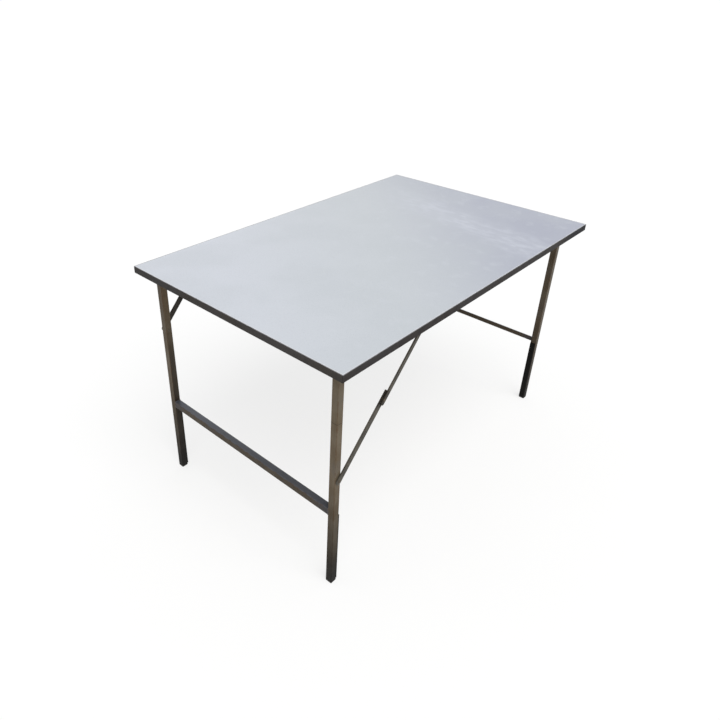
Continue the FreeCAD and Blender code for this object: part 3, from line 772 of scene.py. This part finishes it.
def make_leg_frames():
    """The legs and rails with their welds, foot caps and buffers. The narrow rail is a flat bar."""
    foot, rubber, weld, rivet = foot_finish(), rubber_finish(), weld_finish(), rivet_finish()
    for name, inward in FRAMES.items():
        body = f"{name}_leg_frame"
        rail = f"{name}_rail"
        low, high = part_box(rail)
        rail_height = (low.z + high.z) / 2
        rail_steel = frame_finish(rail, Y, rail_height)
        if name == "narrow":
            bar = eased_block(low, high, PLATE_EASE)
            add_piece("narrow_rail_bar", bar, body, "frame_steel", rail_steel, rail)
        else:
            dress(rail, rail_steel)
        dress(f"{name}_leg_rivets", rivet)
        dress(f"{name}_leg_washers", rivet)
        for leg, side in LEGS.items():
            node = f"{name}_leg_{leg}"
            dress(node, frame_finish(node, Z, rail_height))
            add_piece(f"{name}_{leg}_weld", weld_bead(name, side), body, "frame_steel", weld)
            add_piece(f"{name}_{leg}_foot_cap", foot_cap(f"{name}_foot_{leg}"), body, "foot_plastic", foot,
                      f"{name}_foot_{leg}")
            add_piece(f"{name}_{leg}_buffer", buffer_strip(f"{name}_strip_{leg}", inward), body,
                      "buffer_rubber", rubber, f"{name}_strip_{leg}")


def weld_bead(name, side):
    """A bead round the end of a rail. It is low beside a tube, which is flush with the leg there."""
    low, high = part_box(f"{name}_rail")
    middle = (low + high) / 2
    seam = Vector((middle.x, high.y if side > 0 else low.y, middle.z))
    half_x = (high.x - low.x) / 2 + WELD_PROUD_BESIDE[name] - WELD_RADIUS
    half_z = (high.z - low.z) / 2 + WELD_PROUD - WELD_RADIUS
    path = even_loop(rounded_rectangle(half_x, half_z, min(TUBE_CORNER, half_x)))
    rings = []
    for i, (x, z) in enumerate(path):
        after, before = Vector(path[(i + 1) % len(path)]), Vector(path[i - 1])
        run = (after - before).normalized()
        out = Vector((run.y, 0, -run.x))
        phase = i / WELD_STEPS_PER_RIPPLE
        swell = WELD_SWELL * math.sin(2 * math.pi * phase)
        waver = WELD_WAVER * math.sin(WELD_WAVER_RATE * phase)
        radius = WELD_RADIUS * (1 + swell + waver)
        centre = seam + Vector((x, 0, z))
        rings.append([centre + radius * (out * cosine + Vector((0, sine, 0)))
                      for cosine, sine in arc((0, 0), 1, 0, 4, WELD_SIDES)[:-1]])
    return loft(rings, closed=True)


def even_loop(points):
    """The same loop with its points spaced evenly, a few to each ripple of the weld."""
    corners = [Vector(point) for point in points]
    lengths = [(corners[(i + 1) % len(corners)] - corner).length for i, corner in enumerate(corners)]
    count = WELD_STEPS_PER_RIPPLE * round(sum(lengths) / WELD_RIPPLE)
    spaced = []
    for i in range(count):
        left = sum(lengths) * i / count
        j = 0
        while left > lengths[j]:
            left -= lengths[j]
            j += 1
        spaced.append(corners[j].lerp(corners[(j + 1) % len(corners)], left / max(lengths[j], 1e-9)))
    return spaced


def foot_cap(node):
    """A moulded cap: a flange with an eased sole, a shallow cup under it and a plug with ribs."""
    low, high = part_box(node)
    half = (high.x - low.x) / 2
    plug = half - PLUG_INSET
    rings = [[(0, 0, FOOT_CUP)]]
    for inset, height, corner in FOOT_SOLE:
        rings.append(at_height(rounded_rectangle(half - inset, half - inset, corner), height))
    for rib in range(PLUG_RIBS):
        foot = FOOT_FLANGE + rib * PLUG_RIB_PITCH
        for shrink, height in PLUG_RIB:
            ring = rounded_rectangle(plug - shrink, plug - shrink, PLUG_CORNER)
            rings.append(at_height(ring, foot + height))
    rings.append([(0, 0, high.z - PLUG_TIP_GAP)])
    shape = loft(rings)
    shape.transform(Matrix.Translation(((low.x + high.x) / 2, (low.y + high.y) / 2, low.z)))
    return shape


def buffer_strip(node, inward):
    """A rubber strip with round outer corners and two grooves down its length."""
    low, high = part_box(node)
    thick, half = high.x - low.x, (high.y - low.y) / 2
    side, end = thick - STRIP_CORNER, half - STRIP_CORNER
    outline = [(0, -half)] + arc((side, -end), STRIP_CORNER, 3, 4, STRIP_CORNER_STEPS)
    for middle in (-half / 3, half / 3):
        outline += arc((thick, middle), STRIP_GROOVE, 3, 1, STRIP_GROOVE_STEPS)
    outline += arc((side, end), STRIP_CORNER, 0, 1, STRIP_CORNER_STEPS) + [(0, half)]
    shape = plate(outline, [], high.z - low.z, STRIP_EASE)
    face = low.x if inward > 0 else high.x
    turn = Matrix.Rotation(0 if inward > 0 else math.pi, 4, "Z")
    shape.transform(Matrix.Translation((face, (low.y + high.y) / 2, low.z)) @ turn)
    return shape


# Stays

def make_stays():
    """The stays, and the brackets that hold them and the legs under the top."""
    rivet, paint = rivet_finish(), bracket_finish()
    for name, leg in STAYS.items():
        knuckle_low, knuckle_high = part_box(f"{name}_knuckle_washer")
        knuckle = (knuckle_low + knuckle_high) / 2
        rise = JOINTS[f"{name}_upper_pivot"] - JOINTS[f"{name}_lower_pivot"]
        slope = math.atan2(rise.z, rise.x)
        steel = flat_bar_finish(f"{name}_bar_steel", slope, knuckle, STAY_SHADE[name])
        for part in ("lower", "upper"):
            node = f"{name}_{part}_link"
            shape = stay_link(node, JOINTS[f"{name}_{part}_pivot"], knuckle, part)
            add_piece(f"{name}_{part}_bar", shape, f"{name}_{part}", "stay_steel", steel, node)
        for node in ("knuckle_stud", "knuckle_washer", "knuckle_rivet"):
            dress(f"{name}_{node}", rivet)
        bracket = stay_bracket(f"{name}_bracket", JOINTS[f"{name}_upper_pivot"], LEGS[leg])
        add_piece(f"{name}_stay_bracket", bracket, "tabletop", "bracket_steel", paint, f"{name}_bracket")
    for frame_name in FRAMES:
        for leg, side in LEGS.items():
            node = f"{frame_name}_hinge_bracket_{leg}"
            shape = hinge_bracket(node, JOINTS[f"{frame_name}_frame_fold"], side)
            add_piece(f"{frame_name}_{leg}_hinge", shape, "tabletop", "bracket_steel", paint, node)
    dress("bracket_rivets", rivet)


def stay_link(node, pivot, knuckle, part):
    """A flat bar, drilled at its pivot and at the knuckle. The upper one has round ends, and the
    lower one a square end with a corner clipped to clear the top."""
    low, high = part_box(node)
    way = Vector((knuckle.x - pivot.x, 0, knuckle.z - pivot.z))
    length = way.length
    way.normalize()
    half = LINK_WIDTH[part] / 2
    end = length + LINK_LAP[part]
    outline = arc((end, 0), half, -1, 1, LINK_END_STEPS)
    if part == "lower":
        outline = [(end, -half), (end, 0), (end - LINK_CLIP, half)]
    if part == "lower" and way.x < 0:
        outline = [(end - LINK_CLIP, -half), (end, 0), (end, half)]
    outline += arc((-LINK_TAIL, 0), half, 1, 3, LINK_END_STEPS)
    holes = [round_hole(0, 0, RIVET_HOLE), round_hole(length, 0, RIVET_HOLE)]
    shape = plate(outline, holes, high.y - low.y, PLATE_EASE)
    axes = Matrix(((way.x, way.z, 0), (0, 0, 1), (way.z, -way.x, 0))).to_4x4()
    shape.transform(Matrix.Translation((pivot.x, low.y, pivot.z)) @ axes)
    return shape


def seat(shape, pivot, face, faces_far):
    """Stands a bent bracket at its pivot with its upright on a plane of Y, and its flange to one side."""
    turn = Matrix.Rotation(0 if faces_far else math.pi, 4, "Z")
    shape.transform(Matrix.Translation((pivot.x, face, pivot.z)) @ turn)
    return shape


def bracket_corner(x, y, start):
    """A rounded corner of a flange about its centre, a quarter turn on from its start."""
    return arc((x, y), BRACKET_CORNER, start, start + 1, BRACKET_CORNER_STEPS)


def hinge_bracket(node, pivot, side):
    """An ear beside the head of a leg, bent over to a flange that is screwed under the top."""
    low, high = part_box(node)
    thick = BRACKET_THICK
    start = high.z - pivot.z - thick - BEND_RADIUS
    end = flat_length(high.y - low.y, start, thick)
    inset = HINGE_EAR - BRACKET_CORNER
    outline = arc((0, 0), HINGE_EAR, 2, 4, BRACKET_END_STEPS)
    outline += bracket_corner(inset, end - BRACKET_CORNER, 0)
    outline += bracket_corner(-inset, end - BRACKET_CORNER, 1)
    holes = [round_hole(0, 0, PIVOT_HOLE)]
    holes += [round_hole(0, flat_length(row, start, thick), SCREW_HOLE) for row in HINGE_SCREWS]
    shape = bend_over(plate(outline, holes, thick, PLATE_EASE), start, thick)
    return seat(shape, pivot, low.y if side < 0 else high.y, side < 0)


def stay_bracket(node, pivot, side):
    """A tab outside the upper bar, bent over to a wider flange that is screwed under the top."""
    low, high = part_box(node)
    thick = BRACKET_THICK
    start = high.z - pivot.z - thick - BEND_RADIUS
    end = flat_length(high.y - low.y, start, thick)
    shoulder = flat_length(thick + BEND_RADIUS, start, thick)
    half = (high.x - low.x) / 2
    inset = half - BRACKET_CORNER
    outline = arc((0, 0), STAY_TAB, 2, 4, BRACKET_END_STEPS) + [(STAY_TAB, shoulder)]
    outline += bracket_corner(inset, shoulder + BRACKET_CORNER, -1)
    outline += bracket_corner(inset, end - BRACKET_CORNER, 0)
    outline += bracket_corner(-inset, end - BRACKET_CORNER, 1)
    outline += bracket_corner(-inset, shoulder + BRACKET_CORNER, 2) + [(-STAY_TAB, shoulder)]
    row = flat_length(STAY_SCREW_OUT, start, thick)
    holes = [round_hole(0, 0, RIVET_HOLE)]
    holes += [round_hole(end_side * STAY_SCREW_PITCH / 2, row, SCREW_HOLE) for end_side in (-1, 1)]
    shape = bend_over(plate(outline, holes, thick, PLATE_EASE), start, thick)
    return seat(shape, pivot, low.y if side > 0 else high.y, side > 0)


# Fasteners

def make_fasteners():
    zinc = zinc_finish()
    dress("pivot_washers", zinc)
    bolts, nuts, screws = [], [], []
    for frame_name in FRAMES:
        pivot = JOINTS[f"{frame_name}_frame_fold"]
        for leg, side in LEGS.items():
            ear_low, ear_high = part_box(f"{frame_name}_hinge_bracket_{leg}")
            leg_low, leg_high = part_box(f"{frame_name}_leg_{leg}")
            outer = leg_high.y if side > 0 else leg_low.y
            ear = ear_high.y if side > 0 else ear_low.y
            nut_face = ear - side * BRACKET_THICK
            reach = abs(outer - nut_face) + NUT_HEIGHT + BOLT_TIP
            head = Vector((pivot.x, outer + side * BOLT_PLAY, pivot.z))
            bolts.append((hexagon(BOLT_HEAD), along_y(side, head)))
            bolts.append((bolt_shank(reach), along_y(-side, head)))
            nuts.append((lock_nut(), along_y(-side, Vector((pivot.x, nut_face, pivot.z)))))
            for row in HINGE_SCREWS:
                screws.append(screw_under(pivot.x, ear - side * row, ear_high.z - BRACKET_THICK))
    for name, leg in STAYS.items():
        low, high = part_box(f"{name}_bracket")
        face = low.y if LEGS[leg] > 0 else high.y
        for end_side in (-1, 1):
            x = (low.x + high.x) / 2 + end_side * STAY_SCREW_PITCH / 2
            y = face + LEGS[leg] * STAY_SCREW_OUT
            screws.append(screw_under(x, y, high.z - BRACKET_THICK))
    add_piece("hinge_bolts", merged(bolts), "tabletop", "fastener_steel", zinc, "pivot_bolts")
    add_piece("hinge_nuts", merged(nuts), "tabletop", "fastener_steel", zinc, "pivot_nuts")
    add_piece("board_screws", merged(screws), "tabletop", "fastener_steel", zinc, "wood_screws")


def bolt_shank(length):
    radius = BOLT_DIA / 2
    inward, down = BOLT_CHAMFER
    return turned((0, 0), (radius, 0), (radius, length - down), (radius - inward, length), (0, length))


def lock_nut():
    """A nut with the raised collar that grips the thread."""
    hex_part = hexagon(NUT_HEIGHT - COLLAR_HEIGHT)
    foot, top = NUT_HEIGHT - COLLAR_HEIGHT - COLLAR_SINK, NUT_HEIGHT
    inward, down = COLLAR_CHAMFER
    shoulder, rim = (COLLAR_RADIUS, top - down), (COLLAR_RADIUS - inward, top)
    collar = turned((0, foot), (COLLAR_RADIUS, foot), shoulder, rim, (0, top))
    return merged([(hex_part, Matrix()), (collar, Matrix())])


def screw_under(x, y, face):
    """A screw driven up through a flange, head down, and the place that it goes to."""
    flip = Matrix.Rotation(math.pi, 4, "X")
    return wood_screw(), Matrix.Translation((x, y, face)) @ flip


def wood_screw():
    """A pan-head screw with a cross recess, head up on Z 0."""
    head, shank = SCREW_HEAD_DIA / 2, SCREW_DIA / 2
    circle = arc((0, 0), 1, 0, 4, SCREW_STEPS)[:-1]
    rings = [[(0, 0, -SCREW_LENGTH)]]
    for radius, height in ((shank, SCREW_POINT - SCREW_LENGTH), (shank, 0), (head, 0), (head, SCREW_RIM)):
        rings.append([(x * radius, y * radius, height) for x, y in circle])
    for i in range(CROWN_STEPS - 1, 0, -1):
        share = i / CROWN_STEPS
        crown = SCREW_RIM + (SCREW_HEAD - SCREW_RIM) * math.sqrt(1 - share ** CROWN_CURVE)
        ring = [(x * head * share, y * head * share) for x, y in circle]
        rings.append([(x, y, crown - cross_cut(x, y)) for x, y in ring])
    rings.append([(0, 0, SCREW_HEAD - CROSS_DEPTH)])
    return loft(rings)


def cross_cut(x, y):
    """How deep the cross recess is at a point of the head."""
    depth = 0
    for across, run in ((abs(x), abs(y)), (abs(y), abs(x))):
        wall = min(max((CROSS_HALF + CROSS_WALL - across) / (2 * CROSS_WALL), 0), 1)
        end = min(max((CROSS_REACH - run) / CROSS_FADE, 0), 1)
        depth = max(depth, CROSS_DEPTH * wall * end)
    return depth


# Studio

def make_floor():
    shape = bmesh.new()
    bmesh.ops.create_grid(shape, x_segments=1, y_segments=1, size=FLOOR_HALF)
    mesh = bpy.data.meshes.new("floor")
    shape.to_mesh(mesh)
    shape.free()
    floor = bpy.data.objects.new("floor", mesh)
    floor.location.z = -FLOOR_DROP
    bpy.context.scene.collection.objects.link(floor)
    mesh.materials.append(floor_finish())


def seen_directly(path):
    """1 for rays from the camera, and for those that come off a gloss or through something clear."""
    light = Shade(path.outputs["Is Camera Ray"])
    light = largest(light, Shade(path.outputs["Is Glossy Ray"]))
    return largest(light, Shade(path.outputs["Is Transmission Ray"]))


def floor_finish():
    """White floor that takes the shadow. What the eye sees of it is lifted to the white of the backdrop,
    and it is clear from below, so that the underside can be looked at."""
    finish, place = begin("studio_floor")
    path = finish.node_tree.nodes.new("ShaderNodeLightPath")
    below = Shade(finish.node_tree.nodes.new("ShaderNodeNewGeometry").outputs["Backfacing"])
    grain = cloud(place, 3, 2)
    duller = FLOOR_WHITE - FLOOR_GRAIN
    white = tint((duller, duller, duller, 1), (FLOOR_WHITE, FLOOR_WHITE, FLOOR_WHITE, 1), grain)
    paint = place.node("ShaderNodeBsdfDiffuse", {}, {"Color": white})
    glow = FLOOR_LIFT * seen_directly(path)
    lift = place.node("ShaderNodeEmission", {}, {"Color": (1, 1, 1, 1), "Strength": glow})
    both = place.node("ShaderNodeAddShader", {}, {0: paint, 1: lift})
    clear = place.node("ShaderNodeBsdfTransparent", {}, {})
    either = place.node("ShaderNodeMixShader", {}, {0: below, 1: both, 2: clear})
    place.node("ShaderNodeOutputMaterial", {}, {"Surface": either})
    return finish


def make_sky():
    world = bpy.data.worlds.new("sky")
    bpy.context.scene.world = world
    world.use_nodes = True
    world.node_tree.nodes.clear()
    path = world.node_tree.nodes.new("ShaderNodeLightPath")
    direct = seen_directly(path)
    towards = Shade(world.node_tree.nodes.new("ShaderNodeTexCoord").outputs["Generated"])
    height = largest(along(towards, Z), 0.0)
    strength = SKY_AT_HORIZON + (SKY_OVERHEAD - SKY_AT_HORIZON) * height
    light = direct.node("ShaderNodeBackground", {}, {"Color": (*SKY_COLOUR, 1), "Strength": strength})
    white = direct.node("ShaderNodeBackground", {}, {"Color": (1, 1, 1, 1), "Strength": 1.0})
    both = direct.node("ShaderNodeMixShader", {}, {0: direct, 1: light, 2: white})
    direct.node("ShaderNodeOutputWorld", {}, {"Surface": both})


def make_lamp():
    data = bpy.data.lights.new("sun", "SUN")
    data.energy = SUN_STRENGTH
    data.angle = SUN_SPREAD
    data.color = SUN_COLOUR
    lamp = bpy.data.objects.new("sun", data)
    lamp.location = SUN_DISTANCE * SUN_FROM
    lamp.rotation_mode = "QUATERNION"
    lamp.rotation_quaternion = (-SUN_FROM).to_track_quat("-Z", "Y")
    bpy.context.scene.collection.objects.link(lamp)


def make_camera():
    data = bpy.data.cameras.new("camera")
    data.sensor_width = SENSOR_MM
    data.lens = SENSOR_MM * FOCAL_PIXELS / PICTURE
    data.shift_x = 0.5 - LENS_AXIS_PIXEL[0] / PICTURE
    data.shift_y = LENS_AXIS_PIXEL[1] / PICTURE - 0.5
    level = math.cos(CAMERA_PITCH)
    forward = Vector((math.cos(CAMERA_YAW) * level, math.sin(CAMERA_YAW) * level, -math.sin(CAMERA_PITCH)))
    camera = bpy.data.objects.new("camera", data)
    camera.location = CAMERA_PLACE
    camera.rotation_mode = "QUATERNION"
    roll = Quaternion((0, 0, 1), -CAMERA_ROLL)
    camera.rotation_quaternion = forward.to_track_quat("-Z", "Y") @ roll
    bpy.context.scene.collection.objects.link(camera)
    bpy.context.scene.camera = camera


make_top()
make_leg_frames()
make_stays()
make_fasteners()
make_floor()
make_sky()
make_lamp()
make_camera()
bpy.context.scene.view_settings.view_transform = "Standard"
